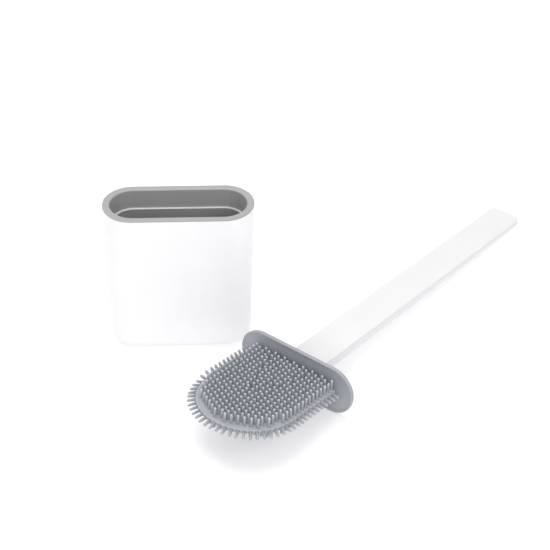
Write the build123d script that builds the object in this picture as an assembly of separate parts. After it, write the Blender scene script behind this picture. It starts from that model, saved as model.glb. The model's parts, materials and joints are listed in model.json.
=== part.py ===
from build123d import *
import math
import os

os.makedirs("parts", exist_ok=True)

# ---------------------------------------------------------------- holder sizes
rim_width = 115.0            # outside width of the holder at its rim
rim_depth = 46.0             # outside depth of the holder at its rim
holder_height = 126.0        # floor to the top of the liner rim
wall_slope = 0.023           # every wall leans in by this much per millimetre downwards
pad_drop = 1.0               # how far the anti-slip pad stands out below the shell
pad_recess = 0.8             # depth of the pad's seat in the shell
pad_inset = 1.2              # pad edge kept inside the shell's flat underside
pad_groove_width = 1.6
pad_groove_depth = 0.5
pad_groove_pitch = 15.0
pad_groove_pairs = 3
flange_thickness = 0.8       # liner rim lying over the shell edge
flange_gap = 0.32            # free gap under the liner rim
shell_wall = 2.2
shell_floor = 2.4
shell_bottom_radius = 8.0
shell_top_radius = 0.5
liner_clearance = 0.6        # all-round gap between the liner and the shell
mouth_width = 103.6
mouth_depth = 35.6
liner_floor_top = 11.0
liner_floor = 2.0
liner_bottom_radius = 6.0
ledge_below_rim = 16.0
ledge_step = 1.8
liner_wall_step_drop = 2.4   # outside step lies this far below the inside ledge
rim_outer_radius = 0.5
rim_inner_radius = 1.2
slot_count = 5
slot_pitch = 15.0
slot_length = 10.0
slot_width = 3.0
skid_length = 16.0           # feet moulded under the liner floor
skid_width = 3.0
skid_spacing = 70.0
skid_gap = 0.4               # skids stay this far above the shell floor
join = 0.5                   # pieces that are fused run this far into each other
overcut = 1.0                # cuts run this far past the face they open

# ----------------------------------------------------------------- brush sizes
collar_width = 105.8
collar_depth = 39.8
plate_thickness = 1.3
skin_thickness = 1.8
skin_front = 1.5             # soft face, measured from the middle of the collar
plate_inset = 0.3
plate_edge_radius = 0.4
skin_edge_radius = 0.7
lip_width = 2.6              # raised rounded border of the soft collar face
lip_height = 0.6
lip_inner_radius = 0.5
handle_gap = 0.4             # free gap between the handle end and the plate
handle_length = 289.3
handle_width_head = 29.4
handle_width_end = 26.9
handle_thick_head = 13.0
handle_thick_end = 6.0
handle_crown_head = 0.9
handle_crown_end = 0.5
handle_under_radius_head = 4.5
handle_under_radius_end = 2.0
handle_end_corner = 3.5
cover_thick_head = 2.6       # front cover, measured from the top of its crown
cover_thick_end = 1.9
seam_depth = 0.15
seam_height = 0.2
cavity_start = 44.0          # hollow part of the handle, from the collar end
cavity_end = 279.0
cavity_side = 3.9            # wall beside the hollow
cavity_floor = 1.6           # wall under the hollow
rib_pitch = 46.0
rib_thickness = 1.6
rib_count = 5
tongue_length = 8.0          # locating tongues on the inside of the front cover
tongue_thickness = 1.2
tongue_depth = 1.2
tongue_side_gap = 0.6
tongue_shift = 10.0          # tongues stand this far from the middle of their bay
socket_width = 16.0
socket_height = 5.8
socket_depth = 36.0
socket_drop = 1.1            # socket centre below the handle centre
socket_clearance = 0.4
tang_length = 32.0
tang_groove_width = 5.0
tang_groove_depth = 1.0
tang_groove_start = 2.0      # groove starts this far behind the plate
tang_end_chamfer = 1.0
beyond = 40.0                # half size of the blocks that cut right across the handle

# ----------------------------------------------------------------- blade sizes
neck_offset = 1.9            # bending line in front of the soft collar face
neck_width = 34.0
blade_raise = 2.6            # blade plane above the middle of the collar
blade_reach = 94.8           # bending line to the round tip
blade_half_width = 39.5
blade_root_corner = 2.0
blade_thickness = 2.2
border_width = 2.2
border_thickness = 3.0
border_radius = 0.6
stem_half_width = 21.0
stem_end = 54.0
stem_thickness = 3.4
stem_tip_half_width = 2.5
blade_cock = 3.7             # blade rests tipped up from the handle line, in degrees

bristle_root_radius = 1.2
bristle_tip_radius = 1.05
bristle_height = 8.0
bristle_pitch_long = 4.5
bristle_pitch_cross = 4.45
bristle_inset = 3.4          # outermost bristles, measured in from the blade edge
bristle_stem_gap = 1.35
bristle_first_row = 1.6
edge_bristle_root_radius = 1.0
edge_bristle_tip_radius = 0.85
edge_bristle_length = 6.3
edge_bristle_pitch = 4.6
edge_bristle_start = 5.0

# -------------------------------------------------------------- brush position
brush_x = 87.7
brush_y = -72.8
brush_heading = 229.5        # direction the blade points, seen from above
floor_clearance = 0.05


def stadium(width, depth, z, inset=0.0):
    w = width - 2 * inset
    d = depth - 2 * inset
    return Pos(0, 0, z) * SlotOverall(w, d)


def sloped(inset, low, high, width=rim_width, depth=rim_depth):
    lean_low = wall_slope * (holder_height - low)
    lean_high = wall_slope * (holder_height - high)
    bottom = stadium(width, depth, low, inset + lean_low)
    top = stadium(width, depth, high, inset + lean_high)
    return Solid.make_loft([bottom.face().outer_wire(), top.face().outer_wire()], ruled=True)


def edges_at(solid, z, tolerance=0.05):
    found = []
    for edge in solid.edges():
        box = edge.bounding_box()
        if abs(box.min.Z - z) < tolerance and abs(box.max.Z - z) < tolerance:
            found.append(edge)
    return found


def save(shape, name):
    export_step(shape, "parts/" + name + ".step")
    solids = shape.solids()
    volume = sum(s.volume for s in solids)
    print(name, len(solids), "solids", round(volume, 1), "mm3")


# ------------------------------------------------------------------ outer shell
shell_low = pad_drop
shell_high = holder_height - flange_thickness - flange_gap
outer = sloped(0.0, shell_low, shell_high)
outer = fillet(edges_at(outer, shell_low), shell_bottom_radius)
outer = fillet(edges_at(outer, shell_high), shell_top_radius)
inner_low = shell_low + shell_floor
inner = sloped(shell_wall, inner_low, shell_high + overcut)
inner = fillet(edges_at(inner, inner_low), shell_bottom_radius - shell_wall)
shell = outer - inner
flat_width = rim_width - 2 * wall_slope * holder_height - 2 * shell_bottom_radius
flat_depth = rim_depth - 2 * wall_slope * holder_height - 2 * shell_bottom_radius
pad_outline = SlotOverall(flat_width - 2 * pad_inset, flat_depth - 2 * pad_inset)
pad = extrude(pad_outline, pad_drop + pad_recess)
shell = shell - pad
save(shell, "holder_shell")

# grooves across the underside of the pad, clear of the centre
for k in range(-pad_groove_pairs, pad_groove_pairs + 1):
    if k == 0:
        continue
    groove = Pos(k * pad_groove_pitch, 0, 0) * Box(pad_groove_width, flat_depth, 2 * pad_groove_depth)
    pad = pad - groove
save(pad, "anti_slip_pad")

# ------------------------------------------------------------------ inner liner
flange_low = holder_height - flange_thickness
flange = extrude(stadium(rim_width, rim_depth, flange_low), flange_thickness)
flange = fillet(edges_at(flange, holder_height), rim_outer_radius)
cup_low = liner_floor_top - liner_floor
ledge_z = holder_height - ledge_below_rim
step_z = ledge_z - liner_wall_step_drop
collar_band = sloped(shell_wall + liner_clearance, step_z, flange_low + join)
cup = sloped(shell_wall + liner_clearance + ledge_step, cup_low, step_z + join)
cup = fillet(edges_at(cup, cup_low), liner_bottom_radius)
liner = flange + collar_band + cup
upper_hole = sloped(0.0, ledge_z, holder_height + overcut, mouth_width, mouth_depth)
lower_hole = sloped(ledge_step, liner_floor_top, ledge_z + overcut, mouth_width, mouth_depth)
lower_hole = fillet(edges_at(lower_hole, liner_floor_top), liner_bottom_radius - liner_floor)
liner = liner - upper_hole - lower_hole
mouth_edges = []
for edge in edges_at(liner, holder_height):
    if edge.bounding_box().max.X < (mouth_width + rim_width) / 4:
        mouth_edges.append(edge)
liner = fillet(mouth_edges, rim_inner_radius)
for k in range(slot_count):
    x = (k - (slot_count - 1) / 2) * slot_pitch
    slot = extrude(SlotOverall(slot_length, slot_width), liner_floor + 2 * overcut)
    slot = Pos(x, 0, cup_low - overcut) * slot
    liner = liner - slot
skid_low = shell_low + shell_floor + skid_gap
for side in (-1, 1):
    skid = Pos(side * skid_spacing / 2, 0, skid_low) * Box(
        skid_width, skid_length, cup_low - skid_low + join, align=(Align.CENTER, Align.CENTER, Align.MIN))
    liner = liner + skid
save(liner, "inner_liner")

# ---------------------------------------------------- where the brush is placed
plate_front = skin_front - skin_thickness
plate_back = plate_front - plate_thickness
handle_start = plate_back - handle_gap
handle_stop = handle_start - handle_length
half_collar = collar_depth / 2
end_drop = half_collar - handle_thick_end / 2
brush_tilt = math.degrees(math.atan2(end_drop, plate_back - handle_stop))
tilt = math.radians(brush_tilt)
brush_z = half_collar * math.cos(tilt) - plate_back * math.sin(tilt) + floor_clearance
placed = Pos(brush_x, brush_y, brush_z) * Rot(0, 0, brush_heading) * Rot(0, -brush_tilt, 0)
print("brush tilt", brush_tilt, "brush z", brush_z)

# ----------------------------------------------------------------------- handle


def handle_section(x, width, thick, crown, under):
    top = thick / 2 - crown
    low = -thick / 2
    half = width / 2
    arc = ThreePointArc((x, -half, top), (x, 0, top + crown), (x, half, top))
    right = Line((x, half, top), (x, half, low + under))
    bend = under * (1 - math.sqrt(0.5))
    right_arc = ThreePointArc((x, half, low + under), (x, half - bend, low + bend), (x, half - under, low))
    bottom = Line((x, half - under, low), (x, -half + under, low))
    left_arc = ThreePointArc((x, -half + under, low), (x, -half + bend, low + bend), (x, -half, low + under))
    left = Line((x, -half, low + under), (x, -half, top))
    return Wire([arc, right, right_arc, bottom, left_arc, left])


def taper_at(x, at_head, at_end):
    share = (handle_start - x) / handle_length
    return at_head + (at_end - at_head) * share


def handle_body(grow):
    head = handle_section(handle_start, handle_width_head + grow, handle_thick_head + grow,
                          handle_crown_head, handle_under_radius_head + grow / 2)
    end = handle_section(handle_stop, handle_width_end + grow, handle_thick_end + grow,
                         handle_crown_end, handle_under_radius_end + grow / 2)
    return Solid.make_loft([head, end], ruled=True)


# round corners at the free end of the handle
whole = handle_body(0.0)
for side in (-1, 1):
    half = handle_width_end / 2
    square = Box(2 * handle_end_corner, 2 * handle_end_corner, beyond)
    round_keep = Pos(handle_end_corner, -side * handle_end_corner, 0) * Cylinder(handle_end_corner, 2 * beyond)
    whole = whole - Pos(handle_stop, side * half, 0) * (square - round_keep)

seam_head = handle_thick_head / 2 - cover_thick_head
seam_end = handle_thick_end / 2 - cover_thick_end
seam_line = Polyline(
    (handle_start + overcut, -beyond, seam_head), (handle_stop - overcut, -beyond, seam_end),
    (handle_stop - overcut, -beyond, beyond), (handle_start + overcut, -beyond, beyond), close=True)
above = extrude(Face(Wire(seam_line.edges())), 2 * beyond, dir=(0, 1, 0))
cover = whole & above
under_part = whole - above

# thin step along the joint of the two halves
step_low = handle_body(-2 * seam_depth)
band = Pos(0, 0, -seam_height) * above - above
under_part = under_part - (band - step_low)

# hollow inside, closed at both ends, with cross ribs
cavity_head = handle_start - cavity_start
cavity_tail = handle_start - cavity_end


def cavity_section(x):
    half = taper_at(x, handle_width_head, handle_width_end) / 2 - cavity_side
    low = -taper_at(x, handle_thick_head, handle_thick_end) / 2 + cavity_floor
    high = taper_at(x, seam_head, seam_end) + join
    frame = Polyline((x, -half, low), (x, half, low), (x, half, high), (x, -half, high), close=True)
    return Wire(frame.edges())


cavity = Solid.make_loft([cavity_section(cavity_head), cavity_section(cavity_tail)], ruled=True)
for k in range(rib_count):
    rib_x = cavity_head - (k + 0.5) * rib_pitch
    cavity = cavity - Pos(rib_x, 0, 0) * Box(rib_thickness, beyond, beyond)
under_part = under_part - cavity

socket = Pos(handle_start, 0, -socket_drop) * Box(
    socket_depth, socket_width, socket_height, align=(Align.MAX, Align.CENTER, Align.CENTER))
under_part = under_part - socket
save(placed * under_part, "handle_back")

# tongues on the cover that drop between the ribs
for k in range(rib_count):
    x = cavity_head - (k + 0.5) * rib_pitch - tongue_shift
    inside = taper_at(x, handle_width_head, handle_width_end) / 2 - cavity_side
    reach = inside - tongue_side_gap - tongue_thickness / 2
    seam = taper_at(x, seam_head, seam_end)
    for side in (-1, 1):
        tongue = Pos(x, side * reach, seam + join) * Box(
            tongue_length, tongue_thickness, tongue_depth + join,
            align=(Align.CENTER, Align.CENTER, Align.MAX))
        cover = cover + tongue
save(placed * cover, "handle_front")

# ----------------------------------------------------------------------- collar


def collar_slab(back, front, inset):
    sketch = SlotOverall(collar_width - 2 * inset, collar_depth - 2 * inset)
    slab = extrude(sketch, front - back)
    # long axis along Y, thin axis along X
    return Pos(back, 0, 0) * (Rot(0, 90, 0) * (Rot(0, 0, 90) * slab))


def x_edges(solid, x, tolerance=0.02):
    found = []
    for edge in solid.edges():
        box = edge.bounding_box()
        if abs(box.min.X - x) < tolerance and abs(box.max.X - x) < tolerance:
            found.append(edge)
    return found


plate = collar_slab(plate_back, plate_front, plate_inset)
plate = fillet(x_edges(plate, plate_back) + x_edges(plate, plate_front), plate_edge_radius)
tang_width = socket_width - 2 * socket_clearance
tang_height = socket_height - 2 * socket_clearance
tang = Pos(plate_back + join, 0, -socket_drop) * Box(
    tang_length + join, tang_width, tang_height, align=(Align.MAX, Align.CENTER, Align.CENTER))
tang = chamfer(x_edges(tang, plate_back - tang_length), tang_end_chamfer)
groove = Pos(plate_back - tang_groove_start, 0, -socket_drop + tang_height / 2) * Box(
    tang_length, tang_groove_width, 2 * tang_groove_depth, align=(Align.MAX, Align.CENTER, Align.CENTER))
plate = plate + (tang - groove)
save(placed * plate, "collar_plate")

skin = collar_slab(plate_front, skin_front, 0.0)
skin = fillet(x_edges(skin, skin_front) + x_edges(skin, plate_front), skin_edge_radius)
dish = collar_slab(skin_front - lip_height, skin_front + overcut, lip_width)
skin = skin - dish
lip_edges = []
for edge in x_edges(skin, skin_front):
    box = edge.bounding_box()
    if box.max.Z < (collar_depth - lip_width) / 2 and box.max.Y < (collar_width - lip_width) / 2:
        lip_edges.append(edge)
skin = fillet(lip_edges, lip_inner_radius)
save(placed * skin, "collar_skin")

# ------------------------------------------------------------------------ blade
neck_x = skin_front + neck_offset
blade_placed = placed * Pos(neck_x, 0, blade_raise) * Rot(0, -blade_cock, 0)


blade_straight = blade_reach - blade_half_width


def blade_outline(inset, root):
    half = blade_half_width - inset
    body = Pos((root + blade_straight) / 2, 0) * Rectangle(blade_straight - root, 2 * half)
    if root >= 0:
        body = fillet(body.vertices().group_by(Axis.X)[0], blade_root_corner - inset)
    return body + Pos(blade_straight, 0) * Circle(half)


def both_ways(sketch, thickness):
    return Pos(0, 0, -thickness / 2) * extrude(sketch, thickness)


border = both_ways(blade_outline(0.0, 0.0), border_thickness)
level_edges = edges_at(border, border_thickness / 2) + edges_at(border, -border_thickness / 2)
border = fillet(level_edges, border_radius)
border = border - both_ways(blade_outline(border_width, -border_width), 2 * border_thickness)
web = both_ways(blade_outline(border_width / 2, 0.0), blade_thickness)
stem_outline = Polygon(
    (0, -stem_half_width), (stem_end, -stem_tip_half_width),
    (stem_end, stem_tip_half_width), (0, stem_half_width), align=None)
stem = both_ways(stem_outline, stem_thickness)
neck_round = Rot(90, 0, 0) * Cylinder(blade_thickness / 2, neck_width)
blade = web + border + stem + neck_round
save(blade_placed * blade, "blade_paddle")


def bristle(root_radius, tip_radius, height):
    shoulder = height - tip_radius
    diagonal = tip_radius * math.sqrt(0.5)
    outline = Wire([
        Line((0, 0, 0), (root_radius, 0, 0)),
        Line((root_radius, 0, 0), (tip_radius, 0, shoulder)),
        ThreePointArc((tip_radius, 0, shoulder), (diagonal, 0, shoulder + diagonal), (0, 0, height)),
        Line((0, 0, height), (0, 0, 0)),
    ])
    return revolve(Face(outline), Axis.Z)


def inside_border(x, y):
    reach = blade_half_width - bristle_inset
    if x <= blade_straight:
        return abs(y) <= reach
    return math.hypot(x - blade_straight, y) <= reach


def stem_distance(x, y):
    # signed distance from the slanted side of the stem, positive outside
    fall = stem_half_width - stem_tip_half_width
    side = (fall * x + stem_end * (abs(y) - stem_half_width)) / math.hypot(stem_end, fall)
    return max(side, x - stem_end)


def clear_of_stem(x, y):
    # a bristle that would straddle the side of the stem stands just beside it
    near = stem_distance(x, y)
    if abs(near) >= bristle_stem_gap:
        return x, y
    push = math.copysign(bristle_stem_gap, near) - near
    if x - stem_end >= near:
        return x + push, y
    fall = stem_half_width - stem_tip_half_width
    slant = math.hypot(stem_end, fall)
    return x + push * fall / slant, y + push * stem_end / slant * math.copysign(1.0, y)


face_spots = []
rows = int(blade_reach / bristle_pitch_long) + 2
columns = int(blade_half_width / bristle_pitch_cross) + 1
for column in range(-columns, columns + 1):
    y = column * bristle_pitch_cross
    stagger = 0.5 * bristle_pitch_long if column % 2 else 0.0
    for row in range(rows):
        x = bristle_first_row + stagger + row * bristle_pitch_long
        if not inside_border(x, y):
            continue
        x, moved_y = clear_of_stem(x, y)
        on_stem = stem_distance(x, moved_y) < 0
        face_spots.append((x, moved_y, stem_thickness / 2 if on_stem else blade_thickness / 2))
print("face bristles", len(face_spots))


def bristle_field(direction):
    solids = []
    for x, y, root in face_spots:
        height = bristle_height - (root - blade_thickness / 2)
        one = bristle(bristle_root_radius, bristle_tip_radius, height)
        if direction > 0:
            solids.append(blade_placed * (Pos(x, y, root) * one))
        else:
            solids.append(blade_placed * (Pos(x, y, -root) * (Rot(180, 0, 0) * one)))
    return Compound(children=solids)


save(bristle_field(1), "bristles_front")
save(bristle_field(-1), "bristles_back")

edge_solids = []
run = blade_straight - edge_bristle_start
round_length = math.pi * blade_half_width
total = 2 * run + round_length
count = int(total / edge_bristle_pitch)
for k in range(count + 1):
    s = k * total / count
    if s < run:
        x, y, angle = edge_bristle_start + s, -blade_half_width, -90.0
    elif s <= run + round_length:
        angle = -90.0 + math.degrees((s - run) / blade_half_width)
        x = blade_straight + blade_half_width * math.cos(math.radians(angle))
        y = blade_half_width * math.sin(math.radians(angle))
    else:
        x, y, angle = blade_straight - (s - run - round_length), blade_half_width, 90.0
    one = bristle(edge_bristle_root_radius, edge_bristle_tip_radius, edge_bristle_length)
    laid = Pos(x, y, 0) * Rot(0, 0, angle) * Rot(0, 90, 0) * one
    edge_solids.append(blade_placed * laid)
print("edge bristles", len(edge_solids))
save(Compound(children=edge_solids), "bristles_edge")

pivot = (blade_placed * Pos(0, 0, 0)).position
print("neck pivot", pivot)
along = placed * Pos(-1, 0, 0)
print("pull direction", along.position - placed.position)
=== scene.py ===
import json
import math
import random

import bpy
import numpy as np
from mathutils import Matrix, Vector


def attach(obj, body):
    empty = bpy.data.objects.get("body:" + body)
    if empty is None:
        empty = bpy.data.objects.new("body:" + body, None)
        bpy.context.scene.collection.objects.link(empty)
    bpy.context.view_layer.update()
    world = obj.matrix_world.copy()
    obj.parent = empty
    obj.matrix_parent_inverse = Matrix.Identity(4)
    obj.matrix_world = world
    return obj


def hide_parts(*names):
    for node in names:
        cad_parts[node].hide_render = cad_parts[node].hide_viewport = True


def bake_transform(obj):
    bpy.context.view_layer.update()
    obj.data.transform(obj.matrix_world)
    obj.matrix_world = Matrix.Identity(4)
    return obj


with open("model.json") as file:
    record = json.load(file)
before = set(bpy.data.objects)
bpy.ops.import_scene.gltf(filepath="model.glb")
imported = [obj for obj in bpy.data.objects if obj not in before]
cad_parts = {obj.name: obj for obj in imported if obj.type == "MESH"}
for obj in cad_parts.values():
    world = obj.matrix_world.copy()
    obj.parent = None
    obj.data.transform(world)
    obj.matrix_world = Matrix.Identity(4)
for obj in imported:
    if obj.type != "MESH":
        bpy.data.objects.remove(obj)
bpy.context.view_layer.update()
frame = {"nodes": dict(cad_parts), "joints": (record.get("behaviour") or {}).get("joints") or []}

MM = 0.001
scene = bpy.context.scene
nodes = frame["nodes"]
joints = {j["name"]: j for j in frame["joints"]}

# ------------------------------------------------------------------ camera
CAMERA_AZIMUTH = -2.406          # degrees, 0 looks along +Y
CAMERA_ELEVATION = 37.353
CAMERA_ROLL = 0.527
CAMERA_DISTANCE = 1.64366
CAMERA_TARGET = Vector((0.07653, 0.07375, 0.0))
LENS = 130.9


def place_camera():
    azimuth = math.radians(CAMERA_AZIMUTH)
    elevation = math.radians(CAMERA_ELEVATION)
    roll = math.radians(CAMERA_ROLL)
    back = Vector((math.sin(azimuth) * math.cos(elevation),
                   -math.cos(azimuth) * math.cos(elevation),
                   math.sin(elevation)))
    right = (-back).cross(Vector((0, 0, 1))).normalized()
    up = right.cross(-back)
    turned_right = right * math.cos(roll) + up * math.sin(roll)
    turned_up = up * math.cos(roll) - right * math.sin(roll)
    data = bpy.data.cameras.new("camera")
    data.lens = LENS
    data.sensor_width = 36.0
    data.sensor_fit = "HORIZONTAL"
    data.clip_start = 0.05
    data.clip_end = 50.0
    camera = bpy.data.objects.new("camera", data)
    scene.collection.objects.link(camera)
    turn = Matrix((turned_right, turned_up, back)).transposed().to_4x4()
    camera.matrix_world = Matrix.Translation(CAMERA_TARGET + back * CAMERA_DISTANCE) @ turn
    scene.camera = camera


place_camera()

# --------------------------------------------------------------- materials


def new_material(name):
    material = bpy.data.materials.new(name)
    material.use_nodes = True
    tree = material.node_tree
    shader = tree.nodes["Principled BSDF"]
    return material, tree, shader


def noise(tree, scale, detail=2.0, rough=0.5):
    coords = tree.nodes.get("object_coords")
    if coords is None:
        coords = tree.nodes.new("ShaderNodeTexCoord")
        coords.name = "object_coords"
    texture = tree.nodes.new("ShaderNodeTexNoise")
    texture.inputs["Scale"].default_value = scale
    texture.inputs["Detail"].default_value = detail
    texture.inputs["Roughness"].default_value = rough
    tree.links.new(coords.outputs["Object"], texture.inputs["Vector"])
    return texture.outputs["Fac"]


def ramp(tree, source, low, high, dark, light):
    node = tree.nodes.new("ShaderNodeValToRGB")
    node.color_ramp.elements[0].position = low
    node.color_ramp.elements[1].position = high
    node.color_ramp.elements[0].color = (*dark, 1)
    node.color_ramp.elements[1].color = (*light, 1)
    tree.links.new(source, node.inputs["Fac"])
    return node.outputs["Color"]


def spread(tree, source, low, high):
    node = tree.nodes.new("ShaderNodeMapRange")
    node.inputs["From Min"].default_value = 0.3
    node.inputs["From Max"].default_value = 0.7
    node.inputs["To Min"].default_value = low
    node.inputs["To Max"].default_value = high
    tree.links.new(source, node.inputs["Value"])
    return node.outputs["Result"]


def bump(tree, shader, source, strength, distance, after=None):
    node = tree.nodes.new("ShaderNodeBump")
    node.inputs["Strength"].default_value = strength
    node.inputs["Distance"].default_value = distance
    tree.links.new(source, node.inputs["Height"])
    if after is not None:
        tree.links.new(after, node.inputs["Normal"])
    tree.links.new(node.outputs["Normal"], shader.inputs["Normal"])
    return node.outputs["Normal"]


def shade(value, tint):
    return tuple(value * t for t in tint)


def plastic(name, value, tint, low_rough, high_rough, grain, grain_depth, flow=0.25):
    """Moulded plastic: faint clouds in the colour, uneven polish, a fine grain and a slight long wave."""
    material, tree, shader = new_material(name)
    clouds = noise(tree, 38.0, 4.0)
    colour = ramp(tree, clouds, 0.3, 0.7, shade(value * 0.985, tint), shade(value * 1.01, tint))
    tree.links.new(colour, shader.inputs["Base Color"])
    polish = spread(tree, noise(tree, 120.0, 3.0), low_rough, high_rough)
    tree.links.new(polish, shader.inputs["Roughness"])
    wave = bump(tree, shader, noise(tree, 55.0, 1.0), flow, 0.0002)
    bump(tree, shader, noise(tree, grain, 2.0), 0.35, grain_depth, wave)
    return material


NEUTRAL = (1.0, 1.0, 1.004)
COOL = (0.94, 0.99, 1.065)
# name, brightness, tint, lowest and highest roughness, grain scale, grain depth (m), strength of the wave
white_plastic = plastic("white_plastic", 0.89, NEUTRAL, 0.3, 0.38, 2600.0, 0.000006, 0.01)
# the handle is the same white plastic as the shell, given a darker colour as painted shade to offset the
# stronger light on its upward face
handle_plastic_painted_shade = plastic("handle_plastic_painted_shade", 0.735, NEUTRAL, 0.3, 0.38, 2600.0, 0.000006, 0.01)
grey_plastic = plastic("grey_plastic", 0.345, (1.0, 1.0, 1.0), 0.32, 0.42, 2200.0, 0.00001, 0.008)
# the same grey plastic as the liner with real low roughness, but a much lighter colour as a painted
# highlight along the ledge bead
glossy_grey_painted_highlight = plastic("glossy_grey_painted_highlight", 0.75, (1.0, 1.0, 1.0), 0.2, 0.3, 2200.0, 0.00001, 0.02)
pad_rubber = plastic("pad_rubber", 0.16, (1.0, 1.0, 1.02), 0.6, 0.8, 1500.0, 0.00006)


def silicone(name, value, low_rough, high_rough):
    """Soft matte silicone: powdery bloom, darker pits and a fine skin."""
    material, tree, shader = new_material(name)
    dust = noise(tree, 420.0, 5.0, 0.65)
    colour = ramp(tree, dust, 0.35, 0.68, shade(value * 0.94, COOL), shade(value * 1.05, COOL))
    # the tone attribute scales the colour; on the bristles it holds a random spread plus painted shade at
    # the roots and painted highlight at the tips
    tone = tree.nodes.new("ShaderNodeAttribute")
    tone.attribute_name = "tone"
    mix = tree.nodes.new("ShaderNodeMix")
    mix.data_type = "RGBA"
    mix.blend_type = "MULTIPLY"
    mix.inputs["Factor"].default_value = 1.0
    tree.links.new(colour, mix.inputs["A"])
    tree.links.new(tone.outputs["Color"], mix.inputs["B"])
    tree.links.new(mix.outputs["Result"], shader.inputs["Base Color"])
    polish = spread(tree, noise(tree, 260.0, 3.0), low_rough, high_rough)
    tree.links.new(polish, shader.inputs["Roughness"])
    shader.inputs["Sheen Weight"].default_value = 0.12
    shader.inputs["Sheen Roughness"].default_value = 0.4
    skin = bump(tree, shader, noise(tree, 900.0, 3.0), 0.3, 0.00004)
    bump(tree, shader, noise(tree, 3200.0, 2.0), 0.3, 0.00002, skin)
    return material


grey_silicone = silicone("grey_silicone", 0.38, 0.3, 0.4)

# ----------------------------------------------------------- brush-head frame
BLADE_COCK = math.radians(3.7)      # the blade rests tipped up from the handle line
hinge = Vector(joints["blade_flex"]["axis"]).normalized()
pivot = Vector(joints["blade_flex"]["pos_m"])
brush_forward = Vector(joints["head_pull"]["axis"]).normalized()
brush_forward = (brush_forward - hinge * brush_forward.dot(hinge)).normalized()


def axes(forward):
    """Millimetre space with X along the blade, Y along the hinge and Z out of the upper face."""
    normal = forward.cross(hinge).normalized()
    turn = Matrix((forward, hinge, normal)).transposed().to_4x4()
    return Matrix.Translation(pivot) @ turn @ Matrix.Scale(MM, 4)


blade_forward = Matrix.Rotation(-BLADE_COCK, 3, hinge) @ brush_forward
blade_space = axes(blade_forward)
head_space = axes(brush_forward)

# ------------------------------------------------------------- mesh helpers


def add_piece(name, verts, faces, space, material, tone=None):
    """Smooth mesh object from points in the given space; tone is a brightness for each point."""
    mesh = bpy.data.meshes.new(name)
    matrix = np.array(space)
    placed = np.asarray(verts, float) @ matrix[:3, :3].T + matrix[:3, 3]
    mesh.from_pydata(placed.tolist(), [], faces)
    mesh.validate()
    colour = mesh.color_attributes.new("tone", "FLOAT_COLOR", "POINT")
    values = np.ones((len(mesh.vertices), 4), np.float32)
    if tone is not None:
        values[:, :3] = np.asarray(tone, np.float32)[:, None]
    colour.data.foreach_set("color", values.ravel())
    mesh.polygons.foreach_set("use_smooth", [True] * len(mesh.polygons))
    mesh.materials.append(material)
    mesh.update()
    piece = bpy.data.objects.new(name, mesh)
    scene.collection.objects.link(piece)
    return piece


def give(node, material):
    """Put a material on a CAD node that stays visible."""
    mesh = nodes[node].data
    mesh.materials.clear()
    mesh.materials.append(material)
    mesh.polygons.foreach_set("use_smooth", [True] * len(mesh.polygons))
    if "tone" not in mesh.color_attributes:
        colour = mesh.color_attributes.new("tone", "FLOAT_COLOR", "POINT")
        colour.data.foreach_set("color", np.ones(len(mesh.vertices) * 4, np.float32))


# ------------------------------------------------------------ blade sizes (mm)
BLADE_HALF = 39.5         # half width of the blade, also the radius of its round tip
BLADE_REACH = 94.8        # bending line to the tip
BLADE_STRAIGHT = BLADE_REACH - BLADE_HALF
ROOT_CORNER = 2.0         # plan radius of the corners beside the collar
WEB = 1.1                 # half thickness of the blade between the ribs
RIDGE = 1.5               # half thickness of the border ridge
STEM = 1.7                # half thickness of the stiff stem
STEM_HALF = 21.0          # half width of the stem at the bending line
STEM_TIP_HALF = 2.5       # half width of the stem at its far end
STEM_END = 54.0           # bending line to the far end of the stem

# ------------------------------------------------------------------ bristles
BRISTLE_TOP = 9.1         # tips stand this far from the middle of the blade
PITCH_LONG = 4.5          # spacing along the blade; every second column is half a step on
PITCH_CROSS = 4.45        # spacing across the blade
FIRST_ROW = 1.6           # bending line to the first row
BRISTLE_INSET = 3.4       # blade edge to the middle of the outermost bristles
STEM_GAP = 1.35           # least distance of a bristle's middle from the stem's edge
SIDES = 12                # flat sides round a bristle
BURIED_FLARE = 0.42       # growth of the radius at the buried root
FLARE = ((0.36, 0.02), (0.14, 0.22), (0.02, 0.6))     # (growth of the radius, height) up the root fillet
SHAFT = (0.35, 0.65, 0.9)                 # rings between the fillet and the round tip
TIP_ARC = (25, 48, 68, 82)                # degrees of the rings on the round tip
TALLNESS = (-0.022, 0.018)                # spread of the height
TONE_SPREAD = 0.045
BEND, PAINTED_HIGHLIGHT_CURVE = 1.6, 1.5               # how late the lean and the painted highlight toward the tip come in
SIDEWAYS = (0.31, 0.22, 0.93)             # a direction that no bristle points in
FACE_ROOT, FACE_TIP = 1.18, 1.05          # radii of the face bristles
FACE_SUNK, FACE_LEAN = 0.45, 0.42         # depth in the web, sideways drift of the tip
UPPER_PAINTED_TONES = (0.86, 1.32)                # root and tip: painted shade at the root, painted highlight at the tip
# the bristles under the blade are painted darker overall as painted shade, with the same darker root and
# lighter tip
UNDER_PAINTED_TONES = (0.66, 1.0)


def stem_distance(x, y):
    """Distance from the stem's sloping side or far end, negative on the stem."""
    fall = STEM_HALF - STEM_TIP_HALF
    side = (fall * x + STEM_END * (abs(y) - STEM_HALF)) / math.hypot(STEM_END, fall)
    return max(side, x - STEM_END)


def clear_of_stem(x, y):
    """A bristle that would straddle the side of the stem stands just beside it."""
    near = stem_distance(x, y)
    if abs(near) >= STEM_GAP:
        return x, y
    push = math.copysign(STEM_GAP, near) - near
    if x - STEM_END >= near:
        return x + push, y
    fall = STEM_HALF - STEM_TIP_HALF
    slant = math.hypot(STEM_END, fall)
    return x + push * fall / slant, y + push * STEM_END / slant * math.copysign(1.0, y)


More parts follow.
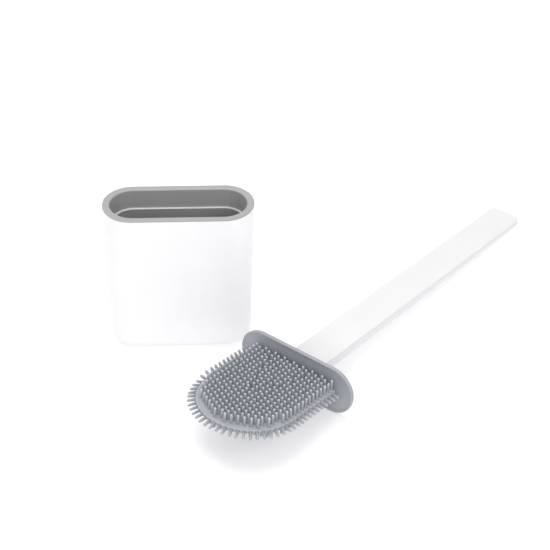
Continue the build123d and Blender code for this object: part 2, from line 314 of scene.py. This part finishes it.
def bristle_spots():
    """Root of each face bristle and the half thickness it stands on, by column and half step."""
    reach = BLADE_HALF - BRISTLE_INSET
    spots = {}
    columns = int(BLADE_HALF / PITCH_CROSS) + 1
    for column in range(-columns, columns + 1):
        y = column * PITCH_CROSS
        stagger = 0.5 * PITCH_LONG if column % 2 else 0.0
        for row in range(int(BLADE_REACH / PITCH_LONG) + 2):
            x = FIRST_ROW + stagger + row * PITCH_LONG
            if math.hypot(max(x - BLADE_STRAIGHT, 0.0), y) > reach:
                continue
            half_steps = round((x - FIRST_ROW) / (0.5 * PITCH_LONG))
            x, moved_y = clear_of_stem(x, y)
            on_stem = stem_distance(x, moved_y) < 0
            spots[(column, half_steps)] = (x, moved_y, STEM if on_stem else WEB)
    return spots


def bristle_profile(root_radius, tip_radius, height, sunk):
    """Radius and height pairs: buried root, small fillet, slim shaft and round tip."""
    shoulder = height - tip_radius
    profile = [(root_radius + BURIED_FLARE, -sunk)]
    profile.extend((root_radius + growth, h) for growth, h in FLARE)
    flare_top = FLARE[-1][1]
    for share in SHAFT:
        h = flare_top + (shoulder - flare_top) * share
        profile.append((root_radius + (tip_radius - root_radius) * share, h))
    profile.append((tip_radius, shoulder))
    for angle in TIP_ARC:
        a = math.radians(angle)
        profile.append((tip_radius * math.cos(a), shoulder + tip_radius * math.sin(a)))
    return profile


def bristle_mesh(stands, root_radius, tip_radius, sunk, seed, lean_limit, painted_root_shade, painted_tip_highlight):
    """Closed skins, one for each (origin, direction, height), that lean and curve a little; their tone runs
    from a painted shade at the root to a painted highlight at the tip.
    """
    rng = random.Random(seed)
    verts = []
    faces = []
    tones = []
    for origin, direction, height in stands:
        origin = np.array(origin, float)
        axis = np.array(direction, float)
        axis = axis / np.linalg.norm(axis)
        side = np.cross(axis, SIDEWAYS)
        side = side / np.linalg.norm(side)
        other = np.cross(axis, side)
        tall = height * (1 + rng.uniform(*TALLNESS))
        lean_angle = rng.uniform(0, 2 * math.pi)
        lean = lean_limit * math.sqrt(rng.random())
        drift = (side * math.cos(lean_angle) + other * math.sin(lean_angle)) * lean
        spin = rng.uniform(0, 2 * math.pi)
        shade_here = 1.0 + rng.uniform(-TONE_SPREAD, TONE_SPREAD)
        profile = bristle_profile(root_radius, tip_radius, tall, sunk)
        first = len(verts)
        for radius, h in profile:
            share = max(h, 0.0) / tall
            centre = origin + axis * h + drift * share ** BEND
            for k in range(SIDES):
                a = spin + 2 * math.pi * k / SIDES
                verts.append(centre + (side * math.cos(a) + other * math.sin(a)) * radius)
                # painted shade at the root, brightening to a painted highlight at the tip
                tones.append(shade_here * (painted_root_shade + (painted_tip_highlight - painted_root_shade) * share ** PAINTED_HIGHLIGHT_CURVE))
        rings = len(profile)
        top = len(verts)
        verts.append(origin + axis * tall + drift)
        tones.append(shade_here * painted_tip_highlight)
        bottom = len(verts)
        verts.append(origin - axis * sunk)
        tones.append(shade_here * painted_root_shade)
        for ring in range(rings - 1):
            for k in range(SIDES):
                a = first + ring * SIDES + k
                b = first + ring * SIDES + (k + 1) % SIDES
                faces.append((a, b, b + SIDES, a + SIDES))
        for k in range(SIDES):
            last = first + (rings - 1) * SIDES
            faces.append((last + k, last + (k + 1) % SIDES, top))
            faces.append((first + (k + 1) % SIDES, first + k, bottom))
    return verts, faces, tones


spots = bristle_spots()
for name, node, sign, seed, ends in (("bristle_field_front", "bristles_front", 1, 11, UPPER_PAINTED_TONES),
                                     ("bristle_field_back", "bristles_back", -1, 12, UNDER_PAINTED_TONES)):
    stands = [((x, y, sign * root), (0.0, 0.0, sign), BRISTLE_TOP - root) for x, y, root in spots.values()]
    verts, faces, tones = bristle_mesh(stands, FACE_ROOT, FACE_TIP, FACE_SUNK, seed, FACE_LEAN, *ends)
    piece = add_piece(name, verts, faces, blade_space, grey_silicone, tones)
    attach(piece, "blade")
    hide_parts(node)

EDGE_START = 5.0          # bending line to the first edge bristle
EDGE_PITCH = 4.6
EDGE_LENGTH = 6.3
EDGE_BURIED = 0.15        # the roots start this far inside the edge
EDGE_ROOT, EDGE_TIP = 1.22, 1.06
EDGE_SUNK, EDGE_LEAN = 0.4, 0.3
# root and tip of the fringe: painted shade on the shafts, painted highlight at the tips
EDGE_PAINTED_TONES = (0.62, 1.12)
EDGE_SEED, DROOP_SEED = 21, 5
DROOP_AT_ROOT = 1.0       # degrees, growing towards the round tip
DROOP_GROWTH = 16.0
DROOP_FROM, DROOP_RUN = 10.0, 60.0        # it grows from the first distance, over the second
DROOP_SPREAD = 2.5
STANDING = 52.0           # degrees that the far side's bristles stand up
STANDING_END, STANDING_EASE = 6.0, 14.0   # where the far side's bristles come down to the round tip


def edge_spots():
    """Origin, direction and length of each bristle round the edge."""
    run = BLADE_STRAIGHT - EDGE_START
    arc = math.pi * BLADE_HALF
    total = 2 * run + arc
    count = int(total / EDGE_PITCH)
    rng = random.Random(DROOP_SEED)
    listed = []
    for k in range(count + 1):
        s = k * total / count
        if s < run:
            x, y, angle = EDGE_START + s, -BLADE_HALF, -math.pi / 2
        elif s <= run + arc:
            angle = -math.pi / 2 + (s - run) / BLADE_HALF
            x = BLADE_STRAIGHT + BLADE_HALF * math.cos(angle)
            y = BLADE_HALF * math.sin(angle)
        else:
            x, y, angle = BLADE_STRAIGHT - (s - run - arc), BLADE_HALF, math.pi / 2
        along = min(1.0, max(0.0, (x - DROOP_FROM) / DROOP_RUN))
        spread_here = rng.uniform(-DROOP_SPREAD, DROOP_SPREAD)
        droop = math.radians(DROOP_AT_ROOT + DROOP_GROWTH * along + spread_here)
        if y < 0:
            standing = min(1.0, max(0.0, (BLADE_STRAIGHT + STANDING_END - x) / STANDING_EASE))
            droop = droop * (1 - standing) - math.radians(STANDING) * standing
        out_x, out_y, flat = math.cos(angle), math.sin(angle), math.cos(droop)
        start = (x - EDGE_BURIED * out_x, y - EDGE_BURIED * out_y, 0.0)
        listed.append((start, (out_x * flat, out_y * flat, -math.sin(droop)), EDGE_LENGTH + EDGE_BURIED))
    return listed


verts, faces, tones = bristle_mesh(edge_spots(), EDGE_ROOT, EDGE_TIP, EDGE_SUNK, EDGE_SEED, EDGE_LEAN,
                                   *EDGE_PAINTED_TONES)
edge_piece = add_piece("bristle_fringe", verts, faces, blade_space, grey_silicone, tones)
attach(edge_piece, "blade")
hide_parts("bristles_edge")

# --------------------------------------------------------------------- blade
CORNER_STEPS = 8
SIDE_STEPS = 14
TIP_STEPS = 96
LEAST_CORNER = 0.2        # plan radius that the corners keep on the inner rings


def blade_outline(inset):
    """Plan outline of the blade, inset by a distance: round corners, straight sides and round tip."""
    half = BLADE_HALF - inset
    corner = max(ROOT_CORNER - inset, LEAST_CORNER)
    corner_x = inset + corner
    points = []
    for k in range(CORNER_STEPS + 1):
        a = math.pi + math.pi / 2 * k / CORNER_STEPS
        points.append((corner_x + corner * math.cos(a), -half + corner + corner * math.sin(a)))
    for k in range(1, SIDE_STEPS):
        points.append((corner_x + (BLADE_STRAIGHT - corner_x) * k / SIDE_STEPS, -half))
    for k in range(TIP_STEPS + 1):
        a = -math.pi / 2 + math.pi * k / TIP_STEPS
        points.append((BLADE_STRAIGHT + half * math.cos(a), half * math.sin(a)))
    for k in range(1, SIDE_STEPS):
        points.append((BLADE_STRAIGHT - (BLADE_STRAIGHT - corner_x) * k / SIDE_STEPS, half))
    for k in range(CORNER_STEPS + 1):
        a = math.pi / 2 + math.pi / 2 * k / CORNER_STEPS
        points.append((corner_x + corner * math.cos(a), half - corner + corner * math.sin(a)))
    return points


def ease(value, low, high):
    """Smooth rise from 0 at low to 1 at high."""
    t = min(1.0, max(0.0, (value - low) / (high - low)))
    return t * t * (3 - 2 * t)


# (inset, height) from the outer edge over the border ridge and a shallow channel to the web
BLADE_EDGE = [(0.0, 0.0), (0.0, 0.55), (0.06, 0.95), (0.22, 1.26), (0.5, 1.44), (0.85, RIDGE), (1.5, RIDGE),
              (1.9, 1.45), (2.15, 1.28), (2.3, 1.12), (2.5, 1.04), (2.75, 1.07), (3.0, WEB)]
RIDGE_FADE = (0.8, 4.5)   # the ridge rises out of the web between these distances from the bending line


def blade_shell():
    """Closed skin of the blade: round outer edge, raised border ridge, channel and flat web."""
    verts = []
    faces = []
    upper = []
    lower = []
    for sign, rings in ((1, upper), (-1, lower)):
        for inset, z in BLADE_EDGE if sign > 0 else BLADE_EDGE[1:]:
            ring = []
            for x, y in blade_outline(inset):
                high = WEB + (z - WEB) * ease(x, *RIDGE_FADE) if z > WEB else z
                ring.append(len(verts))
                verts.append((x, y, sign * high))
            rings.append(ring)
    lower.insert(0, upper[0])
    count = len(upper[0])
    for outer, inner in zip(upper, upper[1:]):
        for k in range(count):
            n = (k + 1) % count
            faces.append((outer[k], outer[n], inner[n], inner[k]))
    for outer, inner in zip(lower, lower[1:]):
        for k in range(count):
            n = (k + 1) % count
            faces.append((outer[n], outer[k], inner[k], inner[n]))
    faces.append(tuple(upper[-1]))
    faces.append(tuple(reversed(lower[-1])))
    return verts, faces


RIB_HALF = 0.55           # half width of a rib
RIB_RISE = 0.95           # crest above the web
RIB_SUNK = 0.4            # foot below the web's surface
# section of a rib: share of the half width, share of the height
RIB = [(-1.25, 0.0), (-1.0, 0.35), (-0.86, 0.8), (-0.55, 1.0),
       (0.55, 1.0), (0.86, 0.8), (1.0, 0.35), (1.25, 0.0)]


def rounded_bar(start, end, low, high, sign):
    """Low rib between two points of the web, with a rounded crest."""
    dx, dy = end[0] - start[0], end[1] - start[1]
    length = math.hypot(dx, dy)
    nx, ny = -dy / length, dx / length
    verts = []
    for px, py in (start, end):
        for side, share in RIB:
            reach = side * RIB_HALF
            verts.append((px + nx * reach, py + ny * reach, sign * (low + share * (high - low))))
    n = len(RIB)
    faces = []
    for k in range(n):
        m = (k + 1) % n
        face = (k, n + k, n + m, m)
        faces.append(face if sign > 0 else tuple(reversed(face)))
    for face in (tuple(range(n)), tuple(reversed(range(n, 2 * n)))):
        faces.append(face if sign > 0 else tuple(reversed(face)))
    return verts, faces


verts, faces = blade_shell()


def join(more_verts, more_faces):
    base = len(verts)
    verts.extend(more_verts)
    faces.extend(tuple(base + i for i in face) for face in more_faces)


# stiff stem standing a little out of the web, with sloping sides
STEM_START = -0.4         # the stem reaches this far behind the bending line
STEM_SIDES = ((0.35, 0.6), (0.3, WEB), (0.0, STEM - 0.12), (-0.35, STEM))     # (outward growth, height)
stem_outline = [(STEM_START, -STEM_HALF), (STEM_END, -STEM_TIP_HALF),
                (STEM_END, STEM_TIP_HALF), (STEM_START, STEM_HALF)]
for sign in (1, -1):
    stem_verts = []
    for grow, z in STEM_SIDES:
        for x, y in stem_outline:
            shift = grow if x > 0 else 0.0
            stem_verts.append((x + shift, y + math.copysign(grow, y), sign * z))
    stem_faces = []
    for level in range(3):
        for k in range(4):
            n = (k + 1) % 4
            face = (level * 4 + k, level * 4 + n, level * 4 + 4 + n, level * 4 + 4 + k)
            stem_faces.append(face if sign > 0 else tuple(reversed(face)))
    for face in ((12, 13, 14, 15), (3, 2, 1, 0)):
        stem_faces.append(face if sign > 0 else tuple(reversed(face)))
    join(stem_verts, stem_faces)

# low ribs that join neighbouring bristles along one slant of the lattice
for (column, step), (x, y, root) in spots.items():
    other = spots.get((column - 1, step + 1))
    if other is None:
        continue
    for sign in (1, -1):
        low = min(root, other[2]) - RIB_SUNK
        high = max(root, other[2]) + RIB_RISE
        join(*rounded_bar((x, y), (other[0], other[1]), low, high, sign))

blade_piece = add_piece("blade_web", verts, faces, blade_space, grey_silicone)
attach(blade_piece, "blade")
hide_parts("blade_paddle")

# --------------------------------------------------- skins over equal rings


def skin_rings(verts, count):
    """Faces that join equal rings in their order and close both ends."""
    size = len(verts) // count
    faces = []
    for level in range(count - 1):
        for k in range(size):
            n = (k + 1) % size
            a = level * size
            faces.append((a + n, a + k, a + size + k, a + size + n))
    faces.append(tuple(range(size)))
    faces.append(tuple(reversed(range((count - 1) * size, count * size))))
    return faces


def oval(half_run, radius, turn, arc_steps, run_steps):
    """Points of an oval with straight long sides, counter-clockwise for turn 1 and clockwise for turn -1."""
    points = []
    for side in (1, -1):
        for k in range(arc_steps + 1):
            a = turn * side * (-math.pi / 2 + math.pi * k / arc_steps)
            points.append((side * (half_run + radius * math.cos(a)), radius * math.sin(a)))
        for k in range(1, run_steps):
            points.append((side * half_run * (1 - 2 * k / run_steps), turn * side * radius))
    return points


# ---------------------------------------------------------------------- neck
NECK_HALF = 17.0          # half width at the bending line
NECK_GAP = 1.9            # soft collar face to the bending line
NECK_END = 0.9            # where the neck has become blade
SKIN_DISH = 0.6           # depth of the dish in the collar face


def neck_mesh():
    """Soft web from the collar face to the blade root, waisted at the bending line."""
    dish = -NECK_GAP - SKIN_DISH
    # distance along the blade, growth of the half width, half thickness
    stations = [(dish - 0.3, 3.0, 2.2), (dish + 0.15, 2.2, 1.8), (-NECK_GAP - 0.1, 1.0, 1.4),
                (-1.2, 0.35, 1.15), (-0.5, 0.0, 1.05), (0.2, 0.0, 1.05),
                (NECK_END, 0.3, 1.15), (1.8, 0.6, 1.25)]
    across = 40
    verts = []
    for x, wide, thick in stations:
        half = NECK_HALF + wide
        loop = []
        for k in range(across + 1):
            y = -half + thick + (2 * half - 2 * thick) * k / across
            loop.append((x, y, thick))
        for k in range(1, 8):
            a = math.pi / 2 - math.pi * k / 8
            loop.append((x, half - thick + thick * math.cos(a), thick * math.sin(a)))
        for k in range(across + 1):
            y = half - thick - (2 * half - 2 * thick) * k / across
            loop.append((x, y, -thick))
        for k in range(1, 8):
            a = -math.pi / 2 - math.pi * k / 8
            loop.append((x, -half + thick + thick * math.cos(a), thick * math.sin(a)))
        verts.extend(loop)
    return verts, skin_rings(verts, len(stations))


verts, faces = neck_mesh()
neck_piece = add_piece("neck_web", verts, faces, blade_space, grey_silicone)
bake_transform(neck_piece)

# ------------------------------------------------- bead along the liner ledge
LEDGE_HEIGHT = 110.0      # above the floor
LEDGE_HALF_RUN = 34.0     # half of the straight stretch of the mouth's oval
LEDGE_RADIUS = 15.632     # edge of the ledge towards the cup
# section of the bead: distance towards the middle, height over the ledge
BEAD = [(-1.9, -0.15), (-1.7, 0.1), (-1.1, 0.22), (-0.5, 0.3), (0.0, 0.16), (0.16, -0.25), (0.05, -0.75),
        (-0.3, -0.8)]


def ledge_bead():
    """Rounded, glossy bead that finishes the edge of the ledge inside the liner; its lighter grey is a
    painted highlight.
    """
    verts = []
    for toward_middle, rise in BEAD:
        ring = oval(LEDGE_HALF_RUN, LEDGE_RADIUS - toward_middle, 1, 40, 10)
        verts.extend((x, y, LEDGE_HEIGHT + rise) for x, y in ring)
    size = len(verts) // len(BEAD)
    faces = []
    for level in range(len(BEAD)):
        for k in range(size):
            n = (k + 1) % size
            a = level * size
            b = (level + 1) % len(BEAD) * size
            faces.append((a + k, a + n, b + n, b + k))
    return verts, faces


verts, faces = ledge_bead()
bead_piece = add_piece("ledge_bead", verts, faces, Matrix.Scale(MM, 4), glossy_grey_painted_highlight)
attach(bead_piece, "liner")

# --------------------------------------------------------- soft collar face
COLLAR_HALF_RUN = 33.0    # half of the straight stretch of the collar's oval
COLLAR_RADIUS = 19.9
COLLAR_DROP = 2.6         # collar centre below the bending line
PAD_BACK = -3.7           # face that lies on the collar plate


# section of the pad: inset from the edge, distance along the brush from the bending line
PAD = [(0.6, PAD_BACK), (0.22, -3.5), (0.03, -3.2), (0.0, -2.85), (0.08, -2.45), (0.32, -2.12), (0.7, -1.94),
       (1.15, -1.9), (1.6, -1.96), (2.05, -2.14), (2.45, -2.36), (2.85, -2.48), (3.3, -2.5)]


def collar_pad():
    """Soft face with a full round bead along its edge and a shallow dish inside the bead."""
    verts = []
    for inset, x in PAD:
        ring = oval(COLLAR_HALF_RUN, COLLAR_RADIUS - inset, -1, 44, 12)
        verts.extend((x, y, z - COLLAR_DROP) for y, z in ring)
    return verts, skin_rings(verts, len(PAD))


verts, faces = collar_pad()
pad_piece = add_piece("collar_pad", verts, faces, head_space, grey_silicone)
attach(pad_piece, "brush_head")
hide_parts("collar_skin")

# ----------------------------------------------------- the CAD nodes that stay
for node, material in (("holder_shell", white_plastic), ("anti_slip_pad", pad_rubber),
                       ("inner_liner", grey_plastic), ("handle_back", handle_plastic_painted_shade),
                       ("handle_front", handle_plastic_painted_shade), ("collar_plate", grey_plastic)):
    give(node, material)

# --------------------------------------------------------------- studio stage
FLOOR_HALF = 6.0          # metres
PAPER_DARK, PAPER_LIGHT = (0.625, 0.625, 0.628), (0.635, 0.635, 0.638)
PAPER_GLOW = (0.98, 0.97, 1.0, 1)
PAPER_GLOW_STRENGTH = 0.43
SKY = (0.985, 0.98, 1.0, 1)
SKY_STRENGTH = 0.54


def make_stage():
    mesh = bpy.data.meshes.new("studio_floor")
    corners = [(-FLOOR_HALF, -FLOOR_HALF, 0), (FLOOR_HALF, -FLOOR_HALF, 0),
               (FLOOR_HALF, FLOOR_HALF, 0), (-FLOOR_HALF, FLOOR_HALF, 0)]
    mesh.from_pydata(corners, [], [(0, 1, 2, 3)])
    floor = bpy.data.objects.new("studio_floor", mesh)
    scene.collection.objects.link(floor)
    material, tree, shader = new_material("studio_paper")
    colour = ramp(tree, noise(tree, 3.0), 0.3, 0.7, PAPER_DARK, PAPER_LIGHT)
    tree.links.new(colour, shader.inputs["Base Color"])
    shader.inputs["Roughness"].default_value = 0.9
    shader.inputs["Specular IOR Level"].default_value = 0.0
    shader.inputs["Emission Color"].default_value = PAPER_GLOW
    shader.inputs["Emission Strength"].default_value = PAPER_GLOW_STRENGTH
    mesh.materials.append(material)


def area_light(name, place, aim, size, watts, colour):
    data = bpy.data.lights.new(name, "AREA")
    data.shape = "SQUARE"
    data.size = size
    data.energy = watts
    data.color = colour
    light = bpy.data.objects.new(name, data)
    scene.collection.objects.link(light)
    light.location = place
    light.rotation_mode = "QUATERNION"
    light.rotation_quaternion = (Vector(aim) - Vector(place)).to_track_quat("-Z", "Y")


make_stage()
world = bpy.data.worlds.new("studio")
scene.world = world
world.use_nodes = True
background = world.node_tree.nodes["Background"]
background.inputs["Color"].default_value = SKY
background.inputs["Strength"].default_value = SKY_STRENGTH
area_light("key", (0.0, 0.25, 1.8), (0.05, 0.05, 0.0), 1.1, 15.0, (1.0, 1.0, 0.99))
area_light("back_left", (-0.75, 0.85, 1.45), (0.03, 0.05, 0.02), 0.7, 6.0, (1.0, 1.0, 1.0))
area_light("front_left", (-0.45, -2.0, 1.25), (0.0, 0.0, 0.06), 1.2, 15.0, (1.0, 1.0, 1.0))
area_light("right_fill", (1.2, -0.9, 1.5), (0.05, 0.0, 0.06), 1.0, 9.0, (1.0, 1.0, 1.0))
scene.view_settings.view_transform = "Standard"
scene.view_settings.look = "None"
